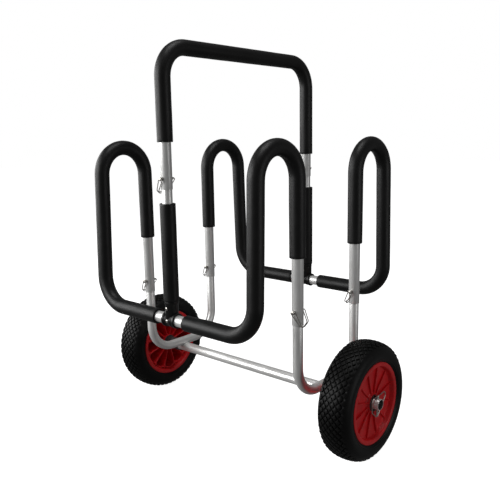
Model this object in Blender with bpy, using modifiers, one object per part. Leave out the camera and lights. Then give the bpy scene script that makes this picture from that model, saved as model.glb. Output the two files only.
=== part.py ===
import math

import bmesh
import bpy
from mathutils import Matrix, Vector

# Paddleboard cart: two wheels on an axle tube, two U-shaped bases, two W-shaped loop frames in foam
# sleeves that hold two boards on edge, and a tall handle on two posts. All lengths are in metres.
# +X runs along the axle, +Y from the front tee to the rear tee, +Z up. The origin is on the floor
# under the middle of the axle.

# Layout of the frame in plan
loop_x = 0.235  # middle to the loops, bare legs and bases
arm_y = 0.244  # middle to the arms, tees, posts and handle legs
loop_y = 0.2335  # middle to the padded side of a loop, at its top
leg_y = 0.109  # middle to the bare legs and the upright ends of the bases

# Heights above the axle's centre line
base_rise = 0.016
leg_end_rise = 0.176
loop_rise = 0.540
arm_rise = 0.176
handle_rise = 0.743

# Lengths along the legs and posts
leg_pin_inset = 0.029  # from a leg's end up to its pin
leg_lap = 0.074  # how far a base runs up inside a leg
leg_bare = 0.141  # from a leg's end up to its foam
post_foam_length = 0.2087
post_bare = 0.029  # from a post's foam up to the handle's end
handle_pin_inset = 0.022  # from the handle's end up to its pin
post_lap = 0.064  # how far a post runs up inside the handle
handle_bare_front = 0.096  # from the handle's end up to its foam
handle_bare_rear = 0.058

# Bend radii of the tubes' centre lines
base_bend = 0.066
arm_bend = 0.068
handle_bend = 0.0626
bend_steps = 4  # straight steps in a quarter turn

# Tubes: bases and posts slip inside the loop frames and the handle
tube_sides = 10
slip_radius = 0.0110
tube_wall = 0.0009
slip_gap = 0.0003
axle_radius = 0.0120
axle_wall = 0.0015
axle_tip = 0.0085  # from a wheel's pin out to the end of the axle
touch_gap = 0.0003  # left between pieces that rest on each other

# Foam sleeves
frame_foam_radius = 0.0173
post_foam_radius = 0.0170
handle_foam_radius = 0.0168
arm_foam_end = 0.044  # from the middle of a tee to the foam on each arm

# Tees
tee_barrel_half = 0.018
tee_barrel_wall = 0.0027
tee_collar_width = 0.0045
tee_collar_height = 0.0014
tee_sides = 12
tee_sleeve_wall = 0.0035
tee_sleeve_rise = 0.042  # arm's centre line to the top of the tee
tee_floor = 0.0020
rivet_radius = 0.0022
rivet_head_radius = 0.0040
rivet_head_height = 0.0016
upper_rivet_rise = 0.027  # above the lower rivet, which crosses the arm

# Wheels, with z measured outwards from a wheel's middle plane
wheel_x = 0.325
tyre_radius = 0.130
tyre_half_width = 0.038
tyre_widest_radius = 0.104
tyre_squareness = 0.88  # 1 gives an elliptic tread, less a squarer one
wheel_segments = 24
hub_segments = 12
tyre_steps = 6  # straight steps over the tread and walls
rim_flange_radius = 0.0888
rim_flange_z = 0.0345
rim_flange_width = 0.0030
bead_radius = 0.0820
rim_wall = 0.0030
hub_radius = 0.0200
hub_end_z = 0.0290
web_hub_z = 0.0235
web_outer_z = 0.0225
web_thickness = 0.0035
rib_count = 12
rib_width = 0.0024
rib_inset = 0.0015  # from the hub's end to the ribs' edge
bush_wall = 0.0028
bush_length = 0.0240
bush_flange_radius = 0.0185
bush_flange_width = 0.0016
washer_radius = 0.0165
washer_width = 0.0010
spacer_wall = 0.0030
weld_room = 0.0040  # from a base's flank to the spacer

# Wire-lock pins, the same for the legs, the handle and the wheels
pin_radius = 0.0025
pin_head_radius = 0.0040
pin_head_length = 0.0075
leg_pin_tip = 0.0072  # out of the tube at the far side
wheel_pin_tip = 0.0150
pin_chamfer = 0.0008
pin_sides = 8
wire_radius = 0.0011
wire_sides = 6
wire_gap = 0.00025  # around the wire in the pin's head
wire_stub = 0.0012  # from the middle of the head to each end of the wire
hook_half_width = 0.0026  # the closed end of the bail, across the pin's tip
bail_reach = 0.037  # how far a leg's bail arches away from its pin
bail_far_reach = 0.027
bail_strand_half = 0.0022
bail_shoulder = 0.0060  # along the pin, from the hinge to the arch's first corner
bail_far_shoulder = 0.0320
bail_bend = 0.008
bail_hang = math.radians(58)  # below the horizontal
ring_axle_gap = 0.0072  # wheel bail: from the axle to the strand that hugs it
ring_near_drop = 0.0300
ring_far_half = 0.0460  # from the pin to the wheel bail's corner
ring_far_rise = 0.0050
ring_bend = 0.008

# Derived sizes
facet = math.cos(math.pi / tube_sides)
frame_radius = slip_radius + (slip_gap + tube_wall) / facet
tee_sleeve_radius = slip_radius + touch_gap + tee_sleeve_wall
tee_barrel_radius = frame_radius + touch_gap + tee_barrel_wall
bush_radius = axle_radius + touch_gap + bush_wall
bush_flange_z = hub_end_z + touch_gap
washer_z = bush_flange_z + bush_flange_width + touch_gap
wheel_pin_z = washer_z + washer_width + touch_gap + pin_head_radius
axle_z = tyre_radius  # the wheels stand on the floor
leg_pin_z = axle_z + leg_end_rise + leg_pin_inset
arm_z = axle_z + arm_rise
post_foam_z = arm_z + tee_sleeve_rise + touch_gap
handle_end_z = post_foam_z + post_foam_length + post_bare
handle_pin_z = handle_end_z + handle_pin_inset


def clear_scene():
    for obj in list(bpy.data.objects):
        bpy.data.objects.remove(obj, do_unlink=True)


def make_collection(name):
    collection = bpy.data.collections.new(name)
    bpy.context.scene.collection.children.link(collection)
    return collection


def make_material(name, colour, roughness, metallic):
    material = bpy.data.materials.new(name)
    material.use_nodes = True
    shader = material.node_tree.nodes["Principled BSDF"]
    shader.inputs["Base Color"].default_value = (*colour, 1.0)
    shader.inputs["Roughness"].default_value = roughness
    shader.inputs["Metallic"].default_value = metallic
    return material


clear_scene()
parts = make_collection("paddleboard_cart")
cutters = make_collection("cutters")

frame_metal = make_material("satin_aluminium", (0.56, 0.56, 0.55), 0.38, 1.0)
axle_metal = make_material("bright_aluminium", (0.72, 0.71, 0.69), 0.30, 1.0)
pin_steel = make_material("zinc_plated_steel", (0.50, 0.48, 0.44), 0.32, 1.0)
foam = make_material("black_foam", (0.012, 0.012, 0.013), 0.62, 0.0)
tee_plastic = make_material("black_plastic", (0.015, 0.015, 0.016), 0.42, 0.0)
tyre_rubber = make_material("black_tyre", (0.010, 0.010, 0.010), 0.70, 0.0)
rim_plastic = make_material("red_plastic", (0.42, 0.010, 0.012), 0.38, 0.0)
bush_plastic = make_material("grey_nylon", (0.30, 0.30, 0.31), 0.50, 0.0)


# Turns of a path's corners into arcs, so that a bent tube has one smooth centre line
def rounded_path(corners, bends, quarter_steps):
    corners = [Vector(c) for c in corners]
    points = [corners[0]]
    for before, corner, after, bend in zip(corners, corners[1:], corners[2:], bends):
        inward = (before - corner).normalized()
        outward = (after - corner).normalized()
        turn = math.pi - inward.angle(outward)
        setback = bend * math.tan(turn / 2)
        start = corner + inward * setback
        centre = corner + (inward + outward).normalized() * (bend / math.cos(turn / 2))
        spoke = start - centre
        axis = (-inward).cross(outward).normalized()
        steps = max(1, round(quarter_steps * turn / (math.pi / 2)))
        for step in range(steps + 1):
            point = centre + Matrix.Rotation(turn * step / steps, 3, axis) @ spoke
            if (point - points[-1]).length > touch_gap:
                points.append(point)
    points.append(corners[-1])
    return points


def add_object(name, mesh, material, place=None, collection=None):
    obj = bpy.data.objects.new(name, mesh)
    (collection or parts).objects.link(obj)
    if material:
        mesh.materials.append(material)
    if place:
        obj.matrix_world = place
    return obj


def smooth(mesh):
    mesh.shade_smooth()
    mesh.set_sharp_from_angle(angle=math.radians(35))


# A round bar along a path, made a mesh so that it can be cut
def swept_mesh(name, points, radius, sides, capped):
    curve = bpy.data.curves.new(name, "CURVE")
    curve.dimensions = "3D"
    curve.bevel_depth = radius
    curve.bevel_resolution = (sides - 4) // 2
    curve.use_fill_caps = capped
    spline = curve.splines.new("POLY")
    spline.points.add(len(points) - 1)
    for spline_point, point in zip(spline.points, points):
        spline_point.co = (*point, 1.0)
    guide = bpy.data.objects.new(name + "_guide", curve)
    cutters.objects.link(guide)
    bpy.context.view_layer.update()
    mesh = bpy.data.meshes.new_from_object(guide.evaluated_get(bpy.context.evaluated_depsgraph_get()))
    bpy.data.objects.remove(guide, do_unlink=True)
    mesh.materials.clear()
    mesh.name = name
    cleaned = bmesh.new()
    cleaned.from_mesh(mesh)
    bmesh.ops.remove_doubles(cleaned, verts=cleaned.verts, dist=1e-6)
    cleaned.to_mesh(mesh)
    cleaned.free()
    smooth(mesh)
    return mesh


# A hollow tube or sleeve: an open skin along the path, thickened inwards
def add_tube(name, points, radius, wall, material):
    obj = add_object(name, swept_mesh(name, points, radius, tube_sides, False), material)
    shell = obj.modifiers.new("wall", "SOLIDIFY")
    shell.thickness = wall
    shell.offset = -1.0
    shell.use_even_offset = True
    return obj


def add_sleeve(name, points, radius, tube_radius, material):
    return add_tube(name, points, radius, radius * facet - tube_radius - touch_gap, material)


# The corner radius of a many-sided bore whose flats clear a round piece
def clear_bore(radius, sides, gap=touch_gap):
    return (radius + gap) / math.cos(math.pi / sides)


# A turned piece: the profile's points are (radius, z), run down the outer side
def turned_mesh(name, profile, closed):
    mesh = bpy.data.meshes.new(name)
    count = len(profile)
    edges = [(i, i + 1) for i in range(count - 1)]
    if closed:
        edges.append((count - 1, 0))
    mesh.from_pydata([(radius, 0.0, z) for radius, z in profile], edges, [])
    return mesh


def add_turned(name, profile, segments, material, place, closed=True):
    obj = add_object(name, turned_mesh(name, profile, closed), material, place)
    screw = obj.modifiers.new("turn", "SCREW")
    screw.axis = "Z"
    screw.steps = segments
    screw.render_steps = segments
    screw.use_merge_vertices = True
    screw.merge_threshold = 1e-6
    if not closed:
        poles = obj.modifiers.new("poles", "WELD")
        poles.merge_threshold = 1e-6
    bpy.context.view_layer.update()
    mesh = bpy.data.meshes.new_from_object(obj.evaluated_get(bpy.context.evaluated_depsgraph_get()))
    smooth(mesh)
    obj.modifiers.clear()
    obj.data = mesh
    return obj


def add_ring(name, inner, outer, low, high, segments, material, place):
    profile = [(outer, high), (outer, low), (inner, low), (inner, high)]
    return add_turned(name, profile, segments, material, place)


def add_cutter(name, mesh, place=None):
    cutter = add_object(name, mesh, None, place, cutters)
    cutter.hide_render = True
    cutter.display_type = "WIRE"
    return cutter


def rod_mesh(name, radius, length, sides):
    mesh = bpy.data.meshes.new(name)
    rod = bmesh.new()
    bmesh.ops.create_cone(rod, cap_ends=True, segments=sides, radius1=radius, radius2=radius, depth=length)
    rod.to_mesh(mesh)
    rod.free()
    return mesh


def rod_cutter(name, radius, length, place, sides=tube_sides):
    return add_cutter(name, rod_mesh(name, radius, length, sides), place)


def combine(obj, other, operation):
    boolean = obj.modifiers.new(other.name, "BOOLEAN")
    boolean.operation = operation
    boolean.solver = "EXACT"
    boolean.object = other


def cut(obj, cutter):
    combine(obj, cutter, "DIFFERENCE")


# Places with their own z axis along a world axis
def upright(x, y, z):
    return Matrix.Translation((x, y, z))


def facing_out(side):
    return Matrix.Translation((side * wheel_x, 0.0, axle_z)) @ Matrix.Rotation(side * math.pi / 2, 4, "Y")


def facing_in(side):
    return Matrix.Translation((side * wheel_x, 0.0, axle_z)) @ Matrix.Rotation(-side * math.pi / 2, 4, "Y")


def along_x(x, y, z):
    return Matrix.Translation((x, y, z)) @ Matrix.Rotation(math.pi / 2, 4, "Y")


def along_y(x, y, z):
    return Matrix.Translation((x, y, z)) @ Matrix.Rotation(math.pi / 2, 4, "X")


# The bails hang towards -X, apart from the one on the front right leg
def bail_side(end, side):
    return 1 if end < 0 and side > 0 else -1


# Pins: local z points to the head, local x is the way that the bail swings open
def leg_pin_place(x, y, z, swing_side=-1):
    swing = Vector((swing_side * math.cos(bail_hang), 0.0, -math.sin(bail_hang)))
    head = Vector((0.0, -1.0, 0.0))
    hinge = head.cross(swing)
    turn = Matrix((swing, hinge, head)).transposed().to_4x4()
    return Matrix.Translation((x, y, z)) @ turn


def wheel_pin_place(side):
    turn = Matrix.Rotation(0.0 if side > 0 else math.pi, 4, "Z")
    return Matrix.Translation((side * (wheel_x + wheel_pin_z), 0.0, axle_z)) @ turn


# Distance from the middle of a pin to the hinge in its head
def hinge_offset(tube_radius):
    return tube_radius + touch_gap + pin_head_length / 2


def add_pin(name, place, tube_radius, tip):
    seat = tube_radius + touch_gap
    top = seat + pin_head_length
    profile = [
        (0.0, top),
        (pin_head_radius - pin_chamfer, top),
        (pin_head_radius, top - pin_chamfer),
        (pin_head_radius, seat),
        (pin_radius, seat),
        (pin_radius, pin_chamfer - tip),
        (pin_radius - pin_chamfer, -tip),
        (0.0, -tip),
    ]
    pin = add_turned(name, profile, pin_sides, pin_steel, place, closed=False)
    middle = place @ Matrix.Translation((0, 0, hinge_offset(tube_radius)))
    eye_radius = clear_bore(wire_radius, wire_sides, wire_gap)
    across = middle @ Matrix.Rotation(math.pi / 2, 4, "X")
    cut(pin, rod_cutter(name + "_eye", eye_radius, 4 * pin_head_radius, across, wire_sides))


# A bail is one wire from the eye in the pin's head, round the tube and across the pin's tip
def add_bail(name, place, tube_radius, tip, far_strand, near_strand, bend):
    side_step = pin_head_radius + touch_gap + wire_radius
    small_bend = wire_radius + touch_gap
    offset = hinge_offset(tube_radius)
    hook = -(offset + tip + touch_gap + wire_radius)
    path = [(0, wire_stub, 0), (0, side_step, 0)] + far_strand
    path += [(0, hook_half_width, hook), (0, -hook_half_width, hook)]
    path += near_strand[::-1] + [(0, -side_step, 0), (0, -wire_stub, 0)]
    bends = [small_bend] + [bend] * len(far_strand) + [small_bend] * 2
    bends += [bend] * len(near_strand) + [small_bend]
    mesh = swept_mesh(name, rounded_path(path, bends, 1), wire_radius, wire_sides, True)
    add_object(name, mesh, pin_steel, place @ Matrix.Translation((0, 0, offset)))


def add_leg_lock(name, place):
    def strand(side):
        y = side * bail_strand_half
        return [(bail_reach, y, -bail_shoulder), (bail_far_reach, y, -bail_far_shoulder)]

    tip = frame_radius + leg_pin_tip
    add_pin(name + "_pin", place, frame_radius, tip)
    add_bail(name + "_bail", place, frame_radius, tip, strand(1), strand(-1), bail_bend)


def add_wheel_lock(name, place):
    near_y = -(axle_radius + ring_axle_gap + wire_radius)
    near = [(0, near_y, 0), (0, near_y, -ring_near_drop)]
    far = [(0, ring_far_half, ring_far_rise)]
    tip = axle_radius + wheel_pin_tip
    add_pin(name + "_pin", place, axle_radius, tip)
    add_bail(name + "_bail", place, axle_radius, tip, far, near, ring_bend)


# Corner points of the bent tubes
def loop_bend():
    lean = math.atan2(arm_y - loop_y, loop_rise - arm_rise)
    return (loop_y - leg_y) / (1.0 + math.tan((math.pi / 2 - lean) / 2))


def half_frame_corners(side, end, leg_bottom):
    x = side * loop_x
    return [
        (x, end * leg_y, leg_bottom),
        (x, end * leg_y, axle_z + loop_rise),
        (x, end * loop_y, axle_z + loop_rise),
        (x, end * arm_y, arm_z),
        (side * arm_foam_end, end * arm_y, arm_z),
    ]


def half_frame_bends():
    return [loop_bend(), loop_bend(), arm_bend]


def handle_path(front_bare, rear_bare):
    top = axle_z + handle_rise
    corners = [
        (0, -arm_y, handle_end_z + front_bare),
        (0, -arm_y, top),
        (0, arm_y, top),
        (0, arm_y, handle_end_z + rear_bare),
    ]
    return rounded_path(corners, [handle_bend] * 2, bend_steps)


def pin_hole(name, obj, place, radius=pin_radius):
    length = 6 * frame_radius
    cut(obj, rod_cutter(name, clear_bore(radius, pin_sides), length, place, pin_sides))


def build_axle():
    half = wheel_x + wheel_pin_z + axle_tip
    tube = add_tube("axle_tube", [(-half, 0, axle_z), (half, 0, axle_z)], axle_radius, axle_wall, axle_metal)
    for side, word in ((-1, "left"), (1, "right")):
        pin_hole(word + "_wheel_pin_hole", tube, wheel_pin_place(side))


def build_base(side, word):
    x = side * loop_x
    low = axle_z + base_rise
    top = axle_z + leg_end_rise + leg_lap
    corners = [(x, -leg_y, top), (x, -leg_y, low), (x, leg_y, low), (x, leg_y, top)]
    base = add_tube(word + "_base", rounded_path(corners, [base_bend] * 2, bend_steps),
                    slip_radius, tube_wall, frame_metal)
    saddle = clear_bore(axle_radius, tube_sides)
    cut(base, rod_cutter(word + "_axle_saddle", saddle, 6 * slip_radius, along_x(x, 0, axle_z)))
    for end, place_word in ((-1, "front"), (1, "rear")):
        hole = leg_pin_place(x, end * leg_y, leg_pin_z, bail_side(end, side))
        pin_hole(f"{place_word}_{word}_base_pin_hole", base, hole)


def build_loop_frame(end, word):
    leg_end = axle_z + leg_end_rise
    left = half_frame_corners(-1, end, leg_end)[:-1]
    right = half_frame_corners(1, end, leg_end)[:-1]
    bends = half_frame_bends()
    points = rounded_path(left + right[::-1], bends + bends[::-1], bend_steps)
    frame = add_tube(word + "_loop_frame", points, frame_radius, tube_wall, frame_metal)
    for side, side_word in ((-1, "left"), (1, "right")):
        corners = half_frame_corners(side, end, leg_end + leg_bare)
        add_sleeve(f"{word}_{side_word}_foam", rounded_path(corners, bends, bend_steps),
                   frame_foam_radius, frame_radius, foam)
        place = leg_pin_place(side * loop_x, end * leg_y, leg_pin_z, bail_side(end, side))
        pin_hole(f"{word}_{side_word}_leg_pin_hole", frame, place)
        add_leg_lock(f"{word}_{side_word}_leg", place)
    arm_place = along_y(0, end * arm_y, arm_z)
    pin_hole(word + "_arm_rivet_hole", frame, arm_place, rivet_radius)


# A tee holds the post upright on the middle of the arm
def build_tee(end, word):
    y = end * arm_y
    half = tee_barrel_half
    collar = tee_barrel_radius + tee_collar_height
    bore = clear_bore(frame_radius, tee_sides)
    collar_end = half - tee_collar_width
    upper = [(collar, half), (collar, collar_end), (tee_barrel_radius, collar_end)]
    lower = [(radius, -z) for radius, z in reversed(upper)]
    outline = upper + lower + [(bore, -half), (bore, half)]
    tee = add_turned(word + "_tee", outline, tee_sides, tee_plastic, along_x(0, y, arm_z))
    sleeve_length = tee_sleeve_rise - frame_radius - touch_gap
    sleeve_middle = arm_z + tee_sleeve_rise - sleeve_length / 2
    sleeve = rod_mesh(word + "_tee_sleeve", tee_sleeve_radius, sleeve_length, tee_sides)
    combine(tee, add_cutter(word + "_tee_sleeve", sleeve, upright(0, y, sleeve_middle)), "UNION")
    cut(tee, rod_cutter(word + "_arm_bore", bore, 3 * half, along_x(0, y, arm_z), tee_sides))
    floor = arm_z + frame_radius + touch_gap + tee_floor
    post_bore = clear_bore(slip_radius, tee_sides)
    post_place = upright(0, y, floor + tee_sleeve_rise / 2)
    cut(tee, rod_cutter(word + "_post_bore", post_bore, tee_sleeve_rise, post_place, tee_sides))
    for level, rivet_word in ((arm_z, "lower"), (arm_z + upper_rivet_rise, "upper")):
        pin_hole(f"{word}_{rivet_word}_rivet_bore", tee, along_y(0, y, level), rivet_radius)


# Two rivets cross each tee, one through the arm and one through the post
def build_rivets(end, word):
    seats = (("lower", 0.0, tee_barrel_radius), ("upper", upper_rivet_rise, tee_sleeve_radius))
    for level_word, rise, seat in seats:
        under = seat + touch_gap
        top = under + rivet_head_height
        dome = rivet_head_radius - rivet_head_height
        head = [(0.0, top), (dome, top), (rivet_head_radius, under), (rivet_radius, under)]
        profile = head + [(radius, -z) for radius, z in reversed(head)]
        place = along_y(0, end * arm_y, arm_z + rise)
        add_turned(f"{word}_{level_word}_rivet", profile, pin_sides, pin_steel, place, closed=False)


def build_post(end, word):
    y = end * arm_y
    foot = arm_z + frame_radius + 2 * touch_gap + tee_floor
    post_top = handle_end_z + post_lap
    post = add_tube(word + "_post", [(0, y, foot), (0, y, post_top)], slip_radius, tube_wall, frame_metal)
    pin_hole(word + "_post_rivet_hole", post, along_y(0, y, arm_z + upper_rivet_rise), rivet_radius)
    pin_place = leg_pin_place(0, y, handle_pin_z)
    pin_hole(word + "_post_pin_hole", post, pin_place)
    foam_path = [(0, y, post_foam_z), (0, y, post_foam_z + post_foam_length)]
    add_sleeve(word + "_post_foam", foam_path, post_foam_radius, slip_radius, foam)
    add_leg_lock(word + "_handle", pin_place)


def build_handle():
    handle = add_tube("handle_tube", handle_path(0.0, 0.0), frame_radius, tube_wall, frame_metal)
    for end, word in ((-1, "front"), (1, "rear")):
        pin_hole(word + "_handle_pin_hole", handle, leg_pin_place(0, end * arm_y, handle_pin_z))
    foam_path = handle_path(handle_bare_front, handle_bare_rear)
    add_sleeve("handle_foam", foam_path, handle_foam_radius, frame_radius, foam)


# Tyre: bead inside the flanges, a bulging wall and a round tread, whose flats stand on the floor
def tyre_profile():
    tread = tyre_radius / math.cos(math.pi / wheel_segments)
    bead = clear_bore(bead_radius, wheel_segments)
    lip = clear_bore(rim_flange_radius, wheel_segments)
    inside = rim_flange_z - rim_flange_width - touch_gap
    wall = [(lip, inside), (lip, inside + rim_flange_width)]
    for step in range(tyre_steps + 1):
        angle = math.pi / 2 - math.pi * step / tyre_steps
        height = (tread - tyre_widest_radius) * abs(math.cos(angle)) ** tyre_squareness
        width = tyre_half_width * math.copysign(abs(math.sin(angle)) ** tyre_squareness, angle)
        wall.append((tyre_widest_radius + height, width))
    wall += [(lip, -inside - rim_flange_width), (lip, -inside), (bead, -inside), (bead, inside)]
    return wall


# One moulded rim: flanges, barrel, dished web and hub
def rim_profile():
    bore = clear_bore(bush_radius, hub_segments)
    seat = rim_flange_z - rim_flange_width
    barrel = bead_radius - rim_wall
    return [
        (rim_flange_radius, rim_flange_z),
        (rim_flange_radius, seat),
        (bead_radius, seat),
        (bead_radius, -seat),
        (rim_flange_radius, -seat),
        (rim_flange_radius, -rim_flange_z),
        (barrel, -rim_flange_z),
        (barrel, web_outer_z - web_thickness),
        (hub_radius, web_hub_z - web_thickness),
        (hub_radius, -hub_end_z),
        (bore, -hub_end_z),
        (bore, hub_end_z),
        (hub_radius, hub_end_z),
        (hub_radius, web_hub_z),
        (barrel, web_outer_z),
        (barrel, rim_flange_z),
    ]


# Radial ribs on both faces of the web, bedded in the hub and the barrel
def rib_mesh(name):
    mesh = bpy.data.meshes.new(name)
    ribs = bmesh.new()
    inner = hub_radius - rim_wall / 2
    outer = bead_radius - rim_wall / 2
    size = (outer - inner, rib_width, 2 * (hub_end_z - rib_inset))
    middle = Vector(((inner + outer) / 2, 0.0, 0.0))
    for rib in range(rib_count):
        turn = Matrix.Rotation(2 * math.pi * (rib + 0.5) / rib_count, 4, "Z")
        shape = turn @ Matrix.Translation(middle) @ Matrix.Diagonal((*size, 1.0))
        bmesh.ops.create_cube(ribs, size=1.0, matrix=shape)
    ribs.to_mesh(mesh)
    ribs.free()
    return mesh


def build_wheel(side, word):
    out = facing_out(side)
    half_facet = Matrix.Rotation(math.pi / wheel_segments, 4, "Z")
    add_turned(word + "_tyre", tyre_profile(), wheel_segments, tyre_rubber, out @ half_facet)
    rim = add_turned(word + "_rim", rim_profile(), wheel_segments, rim_plastic, out)
    combine(rim, add_cutter(word + "_ribs", rib_mesh(word + "_ribs"), out), "UNION")
    bore = clear_bore(axle_radius, hub_segments)
    for place, half_word in ((out, "outer"), (facing_in(side), "inner")):
        flange_top = bush_flange_z + bush_flange_width
        bush_end = flange_top - bush_length
        bush = [
            (bush_flange_radius, flange_top),
            (bush_flange_radius, bush_flange_z),
            (bush_radius, bush_flange_z),
            (bush_radius, bush_end),
            (bore, bush_end),
            (bore, flange_top),
        ]
        add_turned(f"{word}_{half_word}_bush", bush, hub_segments, bush_plastic, place)
        add_ring(f"{word}_{half_word}_washer", bore, washer_radius, washer_z, washer_z + washer_width,
                 hub_segments, pin_steel, place)
    spacer_end = -washer_z - washer_width - touch_gap
    spacer_start = loop_x + slip_radius + weld_room - wheel_x
    add_ring(word + "_wheel_spacer", bore, bore + spacer_wall, spacer_start, spacer_end,
             hub_segments, bush_plastic, out)
    add_wheel_lock(word + "_wheel", wheel_pin_place(side))


build_axle()
for base_side, base_word in ((-1, "left"), (1, "right")):
    build_base(base_side, base_word)
    build_wheel(base_side, base_word)
for frame_end, frame_word in ((-1, "front"), (1, "rear")):
    build_loop_frame(frame_end, frame_word)
    build_tee(frame_end, frame_word)
    build_rivets(frame_end, frame_word)
    build_post(frame_end, frame_word)
build_handle()
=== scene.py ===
import math

import bmesh
import bpy
from mathutils import Matrix, Vector


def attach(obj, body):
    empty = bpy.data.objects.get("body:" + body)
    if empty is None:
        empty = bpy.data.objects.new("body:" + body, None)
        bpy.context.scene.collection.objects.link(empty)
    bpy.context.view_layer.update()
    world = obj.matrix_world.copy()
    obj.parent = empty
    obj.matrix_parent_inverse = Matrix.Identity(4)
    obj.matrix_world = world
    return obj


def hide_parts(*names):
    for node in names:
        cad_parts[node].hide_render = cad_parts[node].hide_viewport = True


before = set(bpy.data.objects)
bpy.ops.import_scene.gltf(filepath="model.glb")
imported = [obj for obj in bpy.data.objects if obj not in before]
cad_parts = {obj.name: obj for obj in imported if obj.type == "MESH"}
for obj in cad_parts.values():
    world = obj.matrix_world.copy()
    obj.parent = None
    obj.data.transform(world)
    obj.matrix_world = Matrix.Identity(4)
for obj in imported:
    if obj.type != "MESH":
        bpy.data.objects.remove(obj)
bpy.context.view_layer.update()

# Paddleboard cart. +X runs along the axle, +Y from the front tee to the rear tee, metres throughout.
layout = {
    "loopX": 0.235, "armY": 0.244, "loopY": 0.2335, "legY": 0.109,
    "axleZ": 0.130, "baseZ": 0.146, "legEndZ": 0.306, "legPinZ": 0.335,
    "loopTopZ": 0.670, "armZ": 0.306, "handleTopZ": 0.873, "handleEndZ": 0.586, "handlePinZ": 0.608,
    "wheelX": 0.325, "wheelPinX": 0.3615,
}
restGap = 0.0003  # between pieces that rest on each other
grainStep = 0.03  # between the grain's marks on straight runs


# Helpers for working by operator
def pickNone():
    for thing in bpy.context.selected_objects:
        thing.select_set(False)


def pick(piece):
    pickNone()
    piece.select_set(True)
    bpy.context.view_layer.objects.active = piece


def settle(piece):  # the object goes to the origin, its place into the mesh
    pick(piece)
    bpy.ops.object.transform_apply(location=True, rotation=True, scale=True)


def openEdit(piece, select="SELECT"):
    pick(piece)
    bpy.ops.object.mode_set(mode="EDIT")
    bpy.ops.mesh.select_mode(type="VERT")
    bpy.ops.mesh.select_all(action=select)


def closeEdit():
    bpy.ops.object.mode_set(mode="OBJECT")


def selectPoints(piece, test):
    shape = bmesh.from_edit_mesh(piece.data)
    for point in shape.verts:
        point.select_set(test(point.co))
    shape.select_flush(True)
    bmesh.update_edit_mesh(piece.data)


def mendSkin(piece, merge=1e-5, holes=False):
    openEdit(piece)
    bpy.ops.mesh.remove_doubles(threshold=merge)
    if holes:
        bpy.ops.mesh.fill_holes(sides=0)
    bpy.ops.mesh.select_all(action="SELECT")
    bpy.ops.mesh.normals_make_consistent(inside=False)
    closeEdit()


def applyModifier(piece, kind, **settings):
    pick(piece)
    change = piece.modifiers.new(kind.lower(), kind)
    for word, value in settings.items():
        setattr(change, word, value)
    bpy.ops.object.modifier_apply(modifier=change.name)


def softenEdges(piece, width, segments=2, angle=35):
    applyModifier(piece, "BEVEL", width=width, segments=segments, limit_method="ANGLE",
                  angle_limit=math.radians(angle))


def smoothOver(piece, angle=40):
    pick(piece)
    bpy.ops.object.shade_smooth_by_angle(angle=math.radians(angle))


def copyTo(piece, name, place):
    twin = bpy.data.objects.new(name, piece.data.copy())
    bpy.context.collection.objects.link(twin)
    twin.data.transform(place)
    return twin


def joinAll(pieces, name):
    pickNone()
    for piece in pieces:
        piece.select_set(True)
    bpy.context.view_layer.objects.active = pieces[0]
    bpy.ops.object.join()
    pieces[0].name = name
    return pieces[0]


def dress(piece, material, body, slotName, *nodes):
    piece.data.materials.clear()
    piece.data.materials.append(material)
    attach(piece, body)
    if nodes:
        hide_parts(*nodes)
    return piece


def extrude(step):
    bpy.ops.mesh.extrude_region_move(TRANSFORM_OT_translate={"value": step})


def discard(*pieces):
    for piece in pieces:
        bpy.data.objects.remove(piece, do_unlink=True)


def placeAt(x, y, z, turn, axis):
    return Matrix.Translation((x, y, z)) @ Matrix.Rotation(turn, 4, axis)


def openRing(name, sides, radius, place, turned=(0, 0, 0)):  # a bare circle, left open for editing
    pickNone()
    bpy.ops.mesh.primitive_circle_add(vertices=sides, radius=radius, fill_type="NOTHING", location=place,
                                      rotation=turned)
    ring = bpy.context.object
    ring.name = name
    settle(ring)
    openEdit(ring)
    return ring


# Bent tubes and wires
def planBends(corners, bends):  # straight runs and bends, in the order a tube bender makes them
    corners = [Vector(corner) for corner in corners]
    moves = []
    here = corners[0]
    for before, corner, after, bend in zip(corners, corners[1:], corners[2:], bends):
        inward = (before - corner).normalized()
        outward = (after - corner).normalized()
        turn = math.pi - inward.angle(outward)
        if turn < 1e-3:  # straight on
            continue
        setback = bend * math.tan(turn / 2)
        start = corner + inward * setback
        centre = corner + (inward + outward).normalized() * (bend / math.cos(turn / 2))
        if (start - here).length > 1e-5:
            moves.append({"run": start - here})
        moves.append({"centre": centre, "axis": (-inward).cross(outward).normalized(), "turn": turn})
        here = corner + outward * setback
    moves.append({"run": corners[-1] - here})
    return moves


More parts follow.
